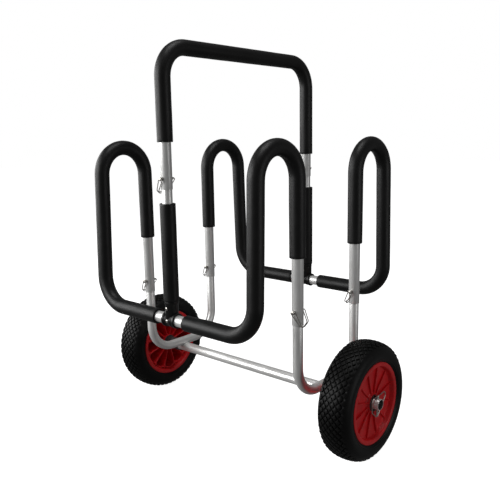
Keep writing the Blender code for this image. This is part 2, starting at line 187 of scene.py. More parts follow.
def markGrain(piece, corners, moves, quarterSteps):
    # each point keeps its place across the tube and its length along it, for drawn lines that follow the bends
    here = Vector(corners[0])
    heading = (Vector(corners[1]) - here).normalized()
    side = heading.orthogonal().normalized()
    length = 0.0
    rings = [(here.copy(), heading.copy(), side.copy(), length)]
    for move in moves:
        if "run" in move:
            steps = max(1, round(move["run"].length / grainStep))
            for step in range(steps):
                here = here + move["run"] / steps
                length += move["run"].length / steps
                rings.append((here.copy(), heading.copy(), side.copy(), length))
        else:
            steps = max(2, round(quarterSteps * move["turn"] / (math.pi / 2)))
            spoke = here - move["centre"]
            turnOne = Matrix.Rotation(move["turn"] / steps, 3, move["axis"])
            for step in range(steps):
                spoke = turnOne @ spoke
                heading = turnOne @ heading
                side = turnOne @ side
                here = move["centre"] + spoke
                length += spoke.length * move["turn"] / steps
                rings.append((here.copy(), heading.copy(), side.copy(), length))
    grain = piece.data.attributes.new("grain", "FLOAT_VECTOR", "POINT")
    for index, point in enumerate(piece.data.vertices):
        ring = min(rings, key=lambda r: (point.co - r[0]).length_squared)
        offset = point.co - ring[0]
        along = ring[3] + offset.dot(ring[1])
        grain.data[index].vector = (offset.dot(ring[2]), offset.dot(ring[1].cross(ring[2])), along)


def drawRod(name, corners, bends, radius, sides=32, quarterSteps=12, runStep=None):
    moves = planBends(corners, bends)
    heading = (Vector(corners[1]) - Vector(corners[0])).normalized()
    turned = heading.to_track_quat("Z", "Y").to_euler()
    rod = openRing(name, sides, radius, corners[0], turned)
    for move in moves:
        if "run" in move:
            steps = max(1, round(move["run"].length / runStep)) if runStep else 1
            for step in range(steps):
                extrude(move["run"] / steps)
        else:
            steps = max(2, round(quarterSteps * move["turn"] / (math.pi / 2)))
            bpy.ops.mesh.spin(steps=steps, angle=bendSense * move["turn"], center=move["centre"],
                              axis=move["axis"])
    closeEdit()
    mendSkin(rod)
    markGrain(rod, corners, moves, quarterSteps)
    return rod


def drawTube(name, corners, bends, radius, wall, lip=0.0003, **shape):
    tube = drawRod(name, corners, bends, radius, **shape)
    applyModifier(tube, "SOLIDIFY", thickness=wall, offset=-1.0, use_even_offset=True)
    softenEdges(tube, lip, 2, 60)
    smoothOver(tube, 50)
    return tube


def drawWire(name, corners, bends, radius, **shape):
    wire = drawRod(name, corners, bends, radius, **shape)
    mendSkin(wire, holes=True)
    softenEdges(wire, radius * 0.25, 1, 60)
    smoothOver(wire, 50)
    return wire


# Turned shapes, whose outline points are (radius, height)
def turnShape(name, outline, sides, closed=True):
    outline = [(max(radius, 1e-5), height) for radius, height in outline]
    shape = openRing(name, sides, outline[0][0], (0, 0, outline[0][1]))
    path = outline + outline[:1] if closed else outline
    for (radius, height), (nextRadius, nextHeight) in zip(path, path[1:]):
        extrude((0, 0, nextHeight - height))
        growth = nextRadius / radius
        bpy.ops.transform.resize(value=(growth, growth, 1), center_override=(0, 0, nextHeight))
    closeEdit()
    mendSkin(shape, 3e-5)
    return shape


def findBendSense():  # which way mesh.spin turns, tried once on a small ring
    trial = openRing("trial", 3, 0.01, (1, 0, 0))
    bpy.ops.mesh.spin(steps=1, angle=math.pi / 2, center=(0, 0, 0), axis=(0, 0, 1))
    closeEdit()
    sense = 1 if max(point.co.y for point in trial.data.vertices) > 0.5 else -1
    discard(trial)
    return sense


bendSense = findBendSense()
print("bend sense", bendSense)


# Finishes: sums on sockets are written as plain sums
class Flow:
    def __init__(self, bench, socket):
        self.bench = bench
        self.socket = socket

    def work(self, operation, first, second=0.0):
        return self.bench.node("ShaderNodeMath", {"operation": operation}, {0: first, 1: second})

    def __add__(self, other):
        return self.work("ADD", self, other)

    __radd__ = __add__

    def __sub__(self, other):
        return self.work("SUBTRACT", self, other)

    def __rsub__(self, other):
        return self.work("SUBTRACT", other, self)

    def __mul__(self, other):
        return self.work("MULTIPLY", self, other)


class FinishBench:
    def __init__(self, name):
        self.material = bpy.data.materials.new(name)
        self.material.use_nodes = True
        self.tree = self.material.node_tree
        self.shader = self.tree.nodes["Principled BSDF"]

    def findSocket(self, sockets, key):
        if isinstance(key, int):
            return sockets[key]
        return next((socket for socket in sockets if socket.identifier == key), None) or sockets[key]

    def fill(self, node, values):
        for key, value in values.items():
            socket = self.findSocket(node.inputs, key)
            if isinstance(value, Flow):
                self.tree.links.new(value.socket, socket)
            else:
                socket.default_value = value

    def node(self, kind, settings=None, values=None, output=0):
        node = self.tree.nodes.new(kind)
        for word, value in (settings or {}).items():
            setattr(node, word, value)
        self.fill(node, values or {})
        return Flow(self, self.findSocket(node.outputs, output))

    def place(self):
        return self.node("ShaderNodeTexCoord", output="Object")

    def grain(self):
        return self.node("ShaderNodeAttribute", {"attribute_name": "grain"}, output="Vector")

    def stretch(self, vector, scale, shift=(0, 0, 0)):
        return self.node("ShaderNodeMapping", {}, {"Vector": vector, "Scale": scale, "Location": shift})

    def noise(self, vector, scale, detail=3.0, rough=0.5):
        return self.node("ShaderNodeTexNoise", {}, {"Vector": vector, "Scale": scale, "Detail": detail,
                                                    "Roughness": rough})

    def cells(self, vector, scale):
        return self.node("ShaderNodeTexVoronoi", {}, {"Vector": vector, "Scale": scale})

    def ramp(self, flow, low, high):  # 0 below low, 1 above high
        return self.node("ShaderNodeMapRange", {"clamp": True}, {0: flow, 1: low, 2: high})

    def colours(self, factor, first, second):
        return self.node("ShaderNodeMix", {"data_type": "RGBA"},
                         {"Factor_Float": factor, "A_Color": first, "B_Color": second}, "Result_Color")

    def relief(self, height, strength, distance):
        return self.node("ShaderNodeBump", {}, {"Height": height, "Strength": strength, "Distance": distance})

    def finish(self, colour, rough, extra):
        self.fill(self.shader, {"Base Color": colour, "Roughness": rough, **extra})
        return self.material


def tone(value, tint=(1.0, 1.0, 1.0)):
    return (value * tint[0], value * tint[1], value * tint[2], 1.0)


satinLook = {"light": 0.80, "dark": 0.68, "roughness": 0.40, "lines": 0.10, "metal": 0.60,
             "tint": (1.0, 1.0, 0.985)}
# the axle's look also holds the tone of the painted shade inside its bore
axleLook = {"light": 0.88, "dark": 0.76, "roughness": 0.31, "lines": 0.16, "metal": 0.55,
            "tint": (1.0, 0.995, 0.98), "bore": 0.0107, "boreTone": 0.05}
steelLook = {"light": 0.54, "dark": 0.36, "roughness": 0.28, "tint": (1.0, 0.97, 0.91)}
# the washers' plated steel is painted near black, as painted shade round the axle's ends
washerLook = {"light": 0.13, "dark": 0.07, "roughness": 0.38, "tint": (1.0, 0.97, 0.93)}
foamLook = {"skin": 0.0022, "pale": 0.0060, "roughness": 0.42, "pores": 0.16, "gloss": 0.25}
teeLook = {"skin": 0.0025, "pale": 0.0060, "roughness": 0.32, "gloss": 0.30}
tyreLook = {"rubber": 0.0018, "dust": 0.0062, "roughness": 0.46, "gloss": 0.15}
rimLook = {"deep": (0.56, 0.0040, 0.0075, 1.0), "bright": (0.70, 0.0070, 0.0120, 1.0), "roughness": 0.36,
           "gloss": 0.35}
# the nylon's tones are set low, as painted shade in the wheels' hubs
nylonLook = {"light": 0.045, "dark": 0.028, "roughness": 0.46}


def axleRadius(bench):  # distance from the wheels' axis
    fromAxle = bench.node("ShaderNodeVectorMath", {"operation": "MULTIPLY"},
                          {0: bench.stretch(bench.place(), (1, 1, 1), (0, 0, -layout["axleZ"])), 1: (0, 1, 1)})
    return bench.node("ShaderNodeVectorMath", {"operation": "LENGTH"}, {0: fromAxle}, "Value")


# Drawn aluminium: fine lines along the tube, soft handling marks across it
def makeAluminium(name, look):
    bench = FinishBench(name)
    grain = bench.grain()
    lines = bench.noise(bench.stretch(grain, (1400, 1400, 9)), 1.0, 4.0, 0.6)
    streaks = bench.noise(bench.stretch(grain, (260, 260, 2.5), (3, 1, 7)), 1.0, 2.0)
    marks = bench.noise(bench.stretch(grain, (38, 38, 22), (5, 9, 2)), 1.0, 5.0, 0.62)
    scuffs = bench.ramp(bench.noise(bench.stretch(grain, (420, 420, 60), (1, 4, 3)), 1.0, 2.0), 0.66, 0.78)
    shade = bench.ramp(streaks * 0.5 + marks * 0.5, 0.32, 0.68)
    colour = bench.colours(shade, tone(look["dark"], look["tint"]), tone(look["light"], look["tint"]))
    colour = bench.colours(scuffs * 0.35, colour, tone(look["dark"] * 0.8))
    if "bore" in look:  # painted shade: the open axle's bore is darkened inside, where shade falls
        inside = 1.0 - bench.ramp(axleRadius(bench), look["bore"], look["bore"] + 0.0003)
        colour = bench.colours(inside * 0.92, colour, tone(look["boreTone"]))
    rough = look["roughness"] + (lines - 0.5) * 0.16 + (marks - 0.5) * 0.16 + scuffs * 0.08
    bump = bench.relief(lines * 0.7 + streaks * 0.3, look["lines"], 0.0004)
    return bench.finish(colour, rough, {"Normal": bump, "Metallic": look["metal"]})


# Zinc plated steel: cloudy plating with a faint warm cast and small pits
def makeSteel(name, look):
    bench = FinishBench(name)
    place = bench.place()
    clouds = bench.noise(place, 170.0, 4.0, 0.6)
    pits = bench.ramp(bench.noise(place, 900.0, 2.0), 0.62, 0.72)
    colour = bench.colours(bench.ramp(clouds, 0.35, 0.65), tone(look["dark"], look["tint"]),
                           tone(look["light"], look["tint"]))
    colour = bench.colours(pits * 0.5, colour, tone(look["dark"] * 0.7, look["tint"]))
    rough = look["roughness"] + (clouds - 0.5) * 0.22 + pits * 0.15
    bump = bench.relief(clouds * 0.4 - pits * 0.6, 0.12, 0.0003)
    return bench.finish(colour, rough, {"Normal": bump, "Metallic": 1.0})


# Weld metal: a rough, cloudy silver crust; the ripples are in the bead's shape
def makeWeld(name):
    bench = FinishBench(name)
    place = bench.place()
    crust = bench.noise(place, 700.0, 5.0, 0.65)
    haze = bench.noise(place, 110.0, 2.0)
    colour = bench.colours(bench.ramp(haze * 0.6 + crust * 0.4, 0.36, 0.62), tone(0.40), tone(0.70))
    bump = bench.relief(crust, 0.35, 0.0006)
    return bench.finish(colour, 0.34 + haze * 0.2, {"Normal": bump, "Metallic": 1.0})


# Closed-cell foam: a soft black skin with fine pores, faint rubbed patches and a sheen
def makeFoam(name, look):
    bench = FinishBench(name)
    place = bench.place()
    pores = bench.cells(place, 1500.0)
    dents = bench.noise(place, 260.0, 3.0, 0.55)
    rubbed = bench.ramp(bench.noise(place, 16.0, 4.0, 0.6), 0.42, 0.72)
    colour = bench.colours(rubbed * 0.55 + dents * 0.25, tone(look["skin"]),
                           tone(look["pale"], (0.98, 0.98, 1.02)))
    rough = look["roughness"] + (dents - 0.5) * 0.16 + rubbed * 0.07
    bump = bench.relief(bench.ramp(pores, 0.05, 0.55) * 0.5 + dents * 0.9, look["pores"], 0.0006)
    return bench.finish(colour, rough, {"Normal": bump, "Specular IOR Level": look["gloss"]})


# Moulded black plastic: spark-eroded grain with paler rubbed spots
def makeTeePlastic(name, look):
    bench = FinishBench(name)
    place = bench.place()
    grain = bench.noise(place, 1300.0, 2.0)
    flow = bench.ramp(bench.noise(place, 60.0, 4.0, 0.6), 0.4, 0.75)
    colour = bench.colours(flow, tone(look["skin"]), tone(look["pale"]))
    rough = look["roughness"] + (grain - 0.5) * 0.18 + flow * 0.08
    bump = bench.relief(grain, 0.18, 0.0004)
    return bench.finish(colour, rough, {"Normal": bump, "Specular IOR Level": look["gloss"]})


# Tyre rubber: dusty patches, fine moulding rings round the walls
def makeRubber(name, look):
    bench = FinishBench(name)
    place = bench.place()
    radius = axleRadius(bench)
    rings = bench.node("ShaderNodeMath", {"operation": "SINE"}, {0: radius * 5200.0})
    wall = 1.0 - bench.ramp(radius, 0.104, 0.114)
    dust = bench.ramp(bench.noise(place, 55.0, 5.0, 0.65), 0.46, 0.74)
    fine = bench.noise(place, 1100.0, 3.0, 0.6)
    colour = bench.colours(dust * 0.6 + fine * 0.2, tone(look["rubber"]), tone(look["dust"], (1.0, 0.99, 0.97)))
    rough = look["roughness"] + (fine - 0.5) * 0.2 - wall * 0.08 + dust * 0.06
    bump = bench.relief(fine * 0.6 + rings * wall * 0.16, 0.22, 0.0005)
    return bench.finish(colour, rough, {"Normal": bump, "Specular IOR Level": look["gloss"]})


# Red moulded rim: cloudy flow marks, soft gloss, faint dust
def makeRimPlastic(name, look):
    bench = FinishBench(name)
    place = bench.place()
    flow = bench.noise(bench.stretch(place, (30, 60, 60)), 1.0, 4.0, 0.6)
    skin = bench.noise(place, 800.0, 2.0)
    haze = bench.ramp(bench.noise(place, 24.0, 4.0, 0.6), 0.45, 0.8)
    colour = bench.colours(bench.ramp(flow, 0.35, 0.65), look["deep"], look["bright"])
    colour = bench.colours(haze * 0.12, colour, (0.42, 0.10, 0.09, 1.0))
    rough = look["roughness"] + (flow - 0.5) * 0.12 + haze * 0.1
    bump = bench.relief(skin * 0.5 + flow * 0.7, 0.10, 0.0005)
    return bench.finish(colour, rough, {"Normal": bump, "Specular IOR Level": look["gloss"]})


# Grey nylon, painted dark as shade in the wheels' hubs: a waxy turned plastic with light mottling
def makeNylon(name, look):
    bench = FinishBench(name)
    place = bench.place()
    mottle = bench.noise(place, 240.0, 4.0, 0.6)
    colour = bench.colours(mottle, tone(look["dark"]), tone(look["light"], (1.0, 1.0, 1.02)))
    bump = bench.relief(mottle, 0.12, 0.0004)
    return bench.finish(colour, look["roughness"] + (mottle - 0.5) * 0.2, {"Normal": bump})


satinAluminium = makeAluminium("satinAluminium", satinLook)
brightAluminium = makeAluminium("brightAluminium", axleLook)
platedSteel = makeSteel("platedSteel", steelLook)
shadePaintedSteel = makeSteel("shadePaintedSteel", washerLook)
weldMetal = makeWeld("weldMetal")
foamSkin = makeFoam("foamSkin", foamLook)
teePlastic = makeTeePlastic("teePlastic", teeLook)
tyreRubber = makeRubber("tyreRubber", tyreLook)
rimPlastic = makeRimPlastic("rimPlastic", rimLook)
greyNylon = makeNylon("greyNylon", nylonLook)
print("finishes mixed")


# Axle tube, open at both ends, turned a little at its lips
axleTube = {"half": 0.370, "radius": 0.0120, "wall": 0.0015}


def makeAxle(size):
    ends = [(-size["half"], 0, layout["axleZ"]), (size["half"], 0, layout["axleZ"])]
    tube = drawTube("axleTube", ends, [], size["radius"], size["wall"], 0.0005, sides=40)
    dress(tube, brightAluminium, "frame", "bright_aluminium", "axle_tube")


# U-shaped bases, welded across the axle
baseTube = {"radius": 0.0110, "wall": 0.0009, "bend": 0.066, "top": 0.380}


def makeBase(size, side, word):
    x = side * layout["loopX"]
    corners = [(x, -layout["legY"], size["top"]), (x, -layout["legY"], layout["baseZ"]),
               (x, layout["legY"], layout["baseZ"]), (x, layout["legY"], size["top"])]
    tube = drawTube(word + "BaseTube", corners, [size["bend"]] * 2, size["radius"], size["wall"])
    dress(tube, satinAluminium, "frame", "satin_aluminium", word + "_base")


# Weld beads round the crossing of base and axle: a chain of overlapping ripples
weldBead = {"radius": 0.0021, "ripples": 26, "stepsPerRipple": 5, "sides": 10, "halfSteps": 64, "sink": 0.985,
            "least": 0.78, "swell": 0.24, "slowDrift": 0.12, "quickDrift": 0.08}


def makeWeldBead(size, side, word):
    base, axle = baseTube["radius"], axleTube["radius"]
    drop = layout["baseZ"] - layout["axleZ"]
    widest = math.acos((drop - axle * size["sink"]) / base)
    points = []
    for way in (1, -1):
        for step in range(size["halfSteps"]):
            turn = way * widest * (1 - 2 * step / size["halfSteps"])
            height = drop - base * math.cos(turn)
            reach = math.sqrt(max(0.0, axle ** 2 - height ** 2))
            points.append(Vector((side * layout["loopX"] + base * math.sin(turn), way * reach,
                                  layout["axleZ"] + height)))
    closed = points + points[:1]
    lengths = [0.0]
    for start, end in zip(closed, closed[1:]):
        lengths.append(lengths[-1] + (end - start).length)
    count = size["ripples"] * size["stepsPerRipple"]
    guide = bpy.data.curves.new(word + "WeldGuide", "CURVE")
    guide.dimensions = "3D"
    guide.bevel_depth = size["radius"]
    guide.bevel_resolution = (size["sides"] - 4) // 2
    line = guide.splines.new("POLY")
    line.points.add(count - 1)
    line.use_cyclic_u = True
    for index, bead in enumerate(line.points):
        reach = lengths[-1] * index / count
        part = next(i for i in range(len(closed) - 1) if lengths[i + 1] >= reach)
        share = (reach - lengths[part]) / max(1e-9, lengths[part + 1] - lengths[part])
        bead.co = (*closed[part].lerp(closed[part + 1], share), 1.0)
        ripple = abs(math.sin(math.pi * index / size["stepsPerRipple"]))
        drift = size["slowDrift"] * math.sin(index * 0.37 + side) + size["quickDrift"] * math.sin(index * 0.91)
        bead.radius = size["least"] + size["swell"] * ripple ** 0.7 + drift
    bead = bpy.data.objects.new(word + "Weld", guide)
    bpy.context.collection.objects.link(bead)
    pick(bead)
    bpy.ops.object.convert(target="MESH")
    bead = bpy.context.object
    mendSkin(bead)
    smoothOver(bead, 60)
    dress(bead, weldMetal, "frame", "satin_aluminium")


# Loop frames: one tube from leg to loop, arm, loop and leg
loopTube = {"radius": 0.01226, "wall": 0.0009, "armBend": 0.068}
frameFoam = {"radius": 0.0173, "legBare": 0.141, "armEnd": 0.044, "lip": 0.0013, "waver": 0.0005,
             "creaseDepth": 0.0009, "creasePitch": 0.0072, "creaseReach": 0.014, "creaseHalf": 40}


def loopBend():
    lean = math.atan2(layout["armY"] - layout["loopY"], layout["loopTopZ"] - layout["armZ"])
    return (layout["loopY"] - layout["legY"]) / (1.0 + math.tan((math.pi / 2 - lean) / 2))


def loopCorners(side, end, bottom):
    x = side * layout["loopX"]
    return [(x, end * layout["legY"], bottom), (x, end * layout["legY"], layout["loopTopZ"]),
            (x, end * layout["loopY"], layout["loopTopZ"]), (x, end * layout["armY"], layout["armZ"]),
            (side * frameFoam["armEnd"], end * layout["armY"], layout["armZ"])]


def makeLoopFrame(size, end, word):
    left = loopCorners(-1, end, layout["legEndZ"])[:-1]
    right = loopCorners(1, end, layout["legEndZ"])[:-1]
    bends = [loopBend(), loopBend(), size["armBend"]]
    tube = drawTube(word + "LoopTube", left + right[::-1], bends + bends[::-1], size["radius"], size["wall"])
    dress(tube, satinAluminium, "frame", "satin_aluminium", word + "_loop_frame")


# Foam sleeves: a soft skin that wavers a little, squeezed into small creases inside the arm's bend
waverRise = 0.25  # the share of the waver that stands above the skin


def drawSleeve(name, corners, bends, size, tubeRadius, **shape):
    outer = size["radius"] - size["waver"] * waverRise
    return drawTube(name, corners, bends, outer, size["radius"] - tubeRadius - restGap, size["lip"], **shape)


def waverFoam(piece, amount):
    cloud = bpy.data.textures.new(piece.name + "Waver", "CLOUDS")
    cloud.noise_scale = 0.05
    cloud.noise_depth = 2
    applyModifier(piece, "DISPLACE", texture=cloud, strength=amount, mid_level=1 - waverRise,
                  texture_coords="LOCAL")
    bpy.data.textures.remove(cloud)


def creaseBend(piece, move, middle, inside, size):
    # the inside of a bend is pressed into short creases that run out towards its sides
    axis, half = move["axis"], math.radians(size["creaseHalf"])
    shape = bmesh.new()
    shape.from_mesh(piece.data)
    for point in shape.verts:
        spoke = point.co - move["centre"]
        spoke -= axis * spoke.dot(axis)
        inner = 1.0 - (spoke.length - inside) / size["creaseReach"]
        angle = math.atan2(spoke.dot(middle.cross(axis)), spoke.dot(middle))
        if inner > 0.0 and abs(angle) < half:
            fade = math.cos(angle / half * math.pi / 2) ** 0.7
            fold = 0.5 - 0.5 * math.cos(2 * math.pi * angle * inside / size["creasePitch"])
            point.co += spoke.normalized() * (size["creaseDepth"] * inner ** 1.6 * fade * fold ** 2)
    shape.to_mesh(piece.data)
    shape.free()


def makeFrameFoam(size, end, side, word):
    bends = [loopBend(), loopBend(), loopTube["armBend"]]
    corners = loopCorners(side, end, layout["legEndZ"] + size["legBare"])
    sleeve = drawSleeve(word[0] + word[1].capitalize() + "Foam", corners, bends, size, loopTube["radius"],
                        quarterSteps=26, runStep=0.006)
    move = [step for step in planBends(corners, bends) if "centre" in step][-1]
    middle = (Vector(corners[3]) - move["centre"]).normalized()
    creaseBend(sleeve, move, middle, loopTube["armBend"] - size["radius"], size)
    waverFoam(sleeve, size["waver"])
    dress(sleeve, foamSkin, "frame", "black_foam", f"{word[0]}_{word[1]}_foam")


# Tees: a barrel on the arm with a collar at each end, ribs beside them, and a socket for the post
teeShape = {"half": 0.018, "barrel": 0.01496, "collar": 0.01666, "collarWidth": 0.0045, "bore": 0.01256,
            "socket": 0.0148, "socketTop": 0.348, "postBore": 0.0113, "postFloor": 0.3206,
            "ribWidth": 0.0011, "ribGap": 0.0024, "ribRise": 0.0009, "brimHeight": 0.0062, "brimRise": 0.0005,
            "lip": 0.0007, "edge": 0.0003}


def makeTee(size, end, word):
    half, barrel, collar = size["half"], size["barrel"], size["collar"]
    outline = [(collar, half), (collar, half - size["collarWidth"]), (barrel, half - size["collarWidth"])]
    height = half - size["collarWidth"] - size["ribGap"]
    for rib in range(2):
        ridge = barrel + size["ribRise"]
        outline += [(barrel, height), (ridge, height - 0.0003), (ridge, height - size["ribWidth"]),
                    (barrel, height - size["ribWidth"] - 0.0003)]
        height -= size["ribWidth"] + size["ribGap"]
    lower = [(radius, -level) for radius, level in reversed(outline)]
    tee = turnShape(word + "Tee", outline + lower + [(size["bore"], -half), (size["bore"], half)], 48)
    softenEdges(tee, size["edge"], 2)
    alongArm = placeAt(0, end * layout["armY"], layout["armZ"], math.pi / 2, "Y")
    tee.data.transform(alongArm)
    top, foot, socket = size["socketTop"], layout["armZ"], size["socket"]
    brim, under = socket + size["brimRise"], top - size["brimHeight"]
    profile = [(0.0, foot), (socket, foot), (socket, under), (brim, under + 0.0006), (brim, top - size["lip"]),
               (brim - size["lip"], top), (size["postBore"], top), (size["postBore"], size["postFloor"]),
               (0.0, size["postFloor"])]
    neck = turnShape(word + "TeeSocket", profile, 48, closed=False)
    neck.data.transform(Matrix.Translation((0, end * layout["armY"], 0)))
    softenEdges(neck, size["edge"], 2, 40)
    bore, past = size["bore"], 0.03
    drill = turnShape("armBore", [(0.0, -past), (bore, -past), (bore, past), (0.0, past)], 48, False)
    drill.data.transform(alongArm)
    applyModifier(neck, "BOOLEAN", object=drill, operation="DIFFERENCE", solver="EXACT")
    discard(drill)
    whole = joinAll([tee, neck], word + "Tee")
    smoothOver(whole, 40)
    dress(whole, teePlastic, "frame", "black_plastic", word + "_tee")


# Blind rivets: a low dome with the drawn stem's hollow in the middle
rivetShape = {"head": 0.0040, "rise": 0.0016, "stem": 0.0013, "hollow": 0.0007, "shank": 0.0022, "step": 0.027}


def makeRivet(size, end, word, level, seat):
    under = seat + restGap
    top = under + size["rise"]
    head = [(0.0, top - size["hollow"]), (size["stem"], top - size["hollow"]), (size["stem"] + 0.0002, top),
            (0.0022, top - 0.0001), (0.0031, top - 0.0005), (0.0037, top - 0.0010),
            (size["head"], under + 0.0002), (size["head"] - 0.0002, under), (size["shank"], under)]
    profile = head + [(radius, -height) for radius, height in reversed(head)]
    rivet = turnShape(word[0] + word[1].capitalize() + "Rivet", profile, 24, closed=False)
    rivet.data.transform(placeAt(0, end * layout["armY"], level, math.pi / 2, "X"))
    smoothOver(rivet, 40)
    dress(rivet, platedSteel, "frame", "zinc_plated_steel", f"{word[0]}_{word[1]}_rivet")


# Posts and their foam
postTube = {"radius": 0.0110, "wall": 0.0009, "foot": 0.3208, "top": 0.650}
postFoam = {"radius": 0.0170, "foot": 0.3483, "length": 0.2087, "lip": 0.0013, "waver": 0.0004}


def makePost(size, end, word):
    y = end * layout["armY"]
    tube = drawTube(word + "PostTube", [(0, y, size["foot"]), (0, y, size["top"])], [], size["radius"],
                    size["wall"])
    dress(tube, satinAluminium, "frame", "satin_aluminium", word + "_post")
    foot, length = postFoam["foot"], postFoam["length"]
    sleeve = drawSleeve(word + "PostFoam", [(0, y, foot), (0, y, foot + length)], [], postFoam, size["radius"],
                        runStep=0.005)
    waverFoam(sleeve, postFoam["waver"])
    dress(sleeve, foamSkin, "frame", "black_foam", word + "_post_foam")


# Handle and its long sleeve
handleTube = {"radius": 0.01226, "wall": 0.0009, "bend": 0.0626}
handleFoam = {"radius": 0.0168, "frontBare": 0.096, "rearBare": 0.058, "lip": 0.0013, "waver": 0.0005}


def handleCorners(frontBare, rearBare):
    y, top, foot = layout["armY"], layout["handleTopZ"], layout["handleEndZ"]
    return [(0, -y, foot + frontBare), (0, -y, top), (0, y, top), (0, y, foot + rearBare)]


def makeHandle(size):
    tube = drawTube("handleTube", handleCorners(0, 0), [size["bend"]] * 2, size["radius"], size["wall"])
    dress(tube, satinAluminium, "frame", "satin_aluminium", "handle_tube")
    soft = handleFoam
    sleeve = drawSleeve("handleFoam", handleCorners(soft["frontBare"], soft["rearBare"]), [size["bend"]] * 2,
                        soft, size["radius"], quarterSteps=24, runStep=0.006)
    waverFoam(sleeve, soft["waver"])
    dress(sleeve, foamSkin, "frame", "black_foam", "handle_foam")


makeAxle(axleTube)
for side, word in ((-1, "left"), (1, "right")):
    makeBase(baseTube, side, word)
    makeWeldBead(weldBead, side, word)
for end, word in ((-1, "front"), (1, "rear")):
    makeLoopFrame(loopTube, end, word)
    for side, sideWord in ((-1, "left"), (1, "right")):
        makeFrameFoam(frameFoam, end, side, (word, sideWord))
    makeTee(teeShape, end, word)
    makeRivet(rivetShape, end, (word, "lower"), layout["armZ"], teeShape["barrel"])
    makeRivet(rivetShape, end, (word, "upper"), layout["armZ"] + rivetShape["step"], teeShape["socket"])
    makePost(postTube, end, word)
makeHandle(handleTube)
print("frame drawn")


# Places on a wheel: its middle, and local z out from there or in towards the cart
def wheelMiddle(side):
    return Matrix.Translation((side * layout["wheelX"], 0, layout["axleZ"]))


def faceOut(side):
    return placeAt(side * layout["wheelX"], 0, layout["axleZ"], side * math.pi / 2, "Y")


def faceIn(side):
    return placeAt(side * layout["wheelX"], 0, layout["axleZ"], -side * math.pi / 2, "Y")


# Tyres: a carcass with moulded walls, and diamond blocks set over the crown
tyreShape = {"radius": 0.1297, "widest": 0.104, "halfWidth": 0.038, "squareness": 0.88, "lip": 0.0895,
             "seat": 0.0312, "bead": 0.0829, "groove": 0.0026, "grooveHalf": 0.029, "sides": 96,
             "grooveSlope": 0.004, "crownSteps": 26, "blocksRound": 50, "rowStep": 0.0064, "rows": 9,
             "blockFill": 0.84, "blockRise": 0.0007, "blockTaper": 0.84, "blockEdge": 0.0007,
             "blockCrown": 0.0003}


def crownPoint(size, share):  # share runs from 0 at the crown to 1 at the widest place
    angle = share * math.pi / 2
    rise = (size["radius"] - size["widest"]) * math.cos(angle) ** size["squareness"]
    return size["widest"] + rise, size["halfWidth"] * math.sin(angle) ** size["squareness"]


def crownAt(size, width):  # radius and slope of the crown at a distance from the middle
    share = math.asin(min(1.0, (abs(width) / size["halfWidth"]) ** (1 / size["squareness"]))) / (math.pi / 2)
    radius, _ = crownPoint(size, share)
    beyond, wide = crownPoint(size, min(1.0, share + 0.02))
    return radius, math.atan2(radius - beyond, max(1e-6, wide - abs(width)))


def makeTreadBlock(size, row):
    width = row * size["rowStep"]
    radius, slope = crownAt(size, width)
    pitch = 2 * math.pi * radius / size["blocksRound"]
    pickNone()
    bpy.ops.mesh.primitive_plane_add(size=1.0, location=(0, 0, 0), rotation=(0, 0, math.pi / 4))
    block = bpy.context.object
    block.name = "treadBlock"
    settle(block)
    corner, top = math.sqrt(0.5), size["groove"] + size["blockRise"]
    block.data.transform(Matrix.Diagonal((size["rowStep"] * size["blockFill"] / corner,
                                          pitch / 2 * size["blockFill"] / corner, 1, 1)))
    openEdit(block)
    extrude((0, 0, top))
    bpy.ops.transform.resize(value=(size["blockTaper"], size["blockTaper"], 1), center_override=(0, 0, top))
    bpy.ops.mesh.inset(thickness=size["blockEdge"], depth=size["blockCrown"])
    closeEdit()
    mendSkin(block)
    drop = top + size["blockCrown"]
    tilt = math.copysign(slope, width) if row else 0.0
    block.data.transform(placeAt(width, 0, radius - drop * math.cos(slope), tilt, "Y"))
    return block


def makeTyre(size):
    outline = [(size["lip"], size["seat"]), (size["lip"] + 0.0004, size["seat"] + 0.0028)]
    wall = []
    for step in range(size["crownSteps"] + 1):
        share = 1 - step / size["crownSteps"]
        radius, width = crownPoint(size, share)
        if width < size["grooveHalf"]:
            radius -= size["groove"] * min(1.0, (size["grooveHalf"] - width) / size["grooveSlope"])
        wall.append((radius, width))
    below = [(0.0925, 0.0352), (0.0945, 0.0366), (0.0952, 0.0372), (0.0965, 0.0370), (0.0980, 0.0376)]
    upper = outline + below + wall[:-1]
    lower = [(radius, -width) for radius, width in reversed(upper)]
    profile = upper + [(wall[-1][0], 0.0)] + lower
    profile += [(size["bead"], -size["seat"]), (size["bead"], size["seat"])]
    tyre = turnShape("tyre", profile, size["sides"])
    tyre.data.transform(Matrix.Rotation(math.pi / 2, 4, "Y"))
    pieces = [tyre]
    for row in range(-(size["rows"] // 2), size["rows"] // 2 + 1):
        block = makeTreadBlock(size, row)
        shift = 0.5 if row % 2 else 0.0
        for spot in range(size["blocksRound"]):
            turn = Matrix.Rotation(2 * math.pi * (spot + shift) / size["blocksRound"], 4, "X")
            pieces.append(copyTo(block, "treadBlock", turn))
        discard(block)
    tyre = joinAll(pieces, "tyre")
    smoothOver(tyre, 30)
    return tyre


# Rims: flanges, barrel and dished web turned in one, ribs on both faces, petals between the inner ribs
rimShape = {"flange": 0.0888, "flangeZ": 0.0345, "flangeWidth": 0.0030, "bead": 0.0820, "barrel": 0.0790,
            "hub": 0.0200, "hubZ": 0.0290, "bore": 0.0155, "webHubZ": 0.0235, "webOuterZ": 0.0225,
            "web": 0.0035, "ribs": 12, "ribWidth": 0.0024, "outerRibFoot": 0.0190, "outerRibTop": 0.0269,
            "outerRibEnd": 0.0264, "innerRibFoot": 0.0205, "innerRibTop": 0.0275, "sides": 96}
petalShape = {"near": 0.052, "outer": 0.0700, "bulge": 0.0062, "share": 0.93, "steps": 10, "wall": 0.0030,
              "edge": 0.0011, "drop": 0.0012, "foot": 0.0200}


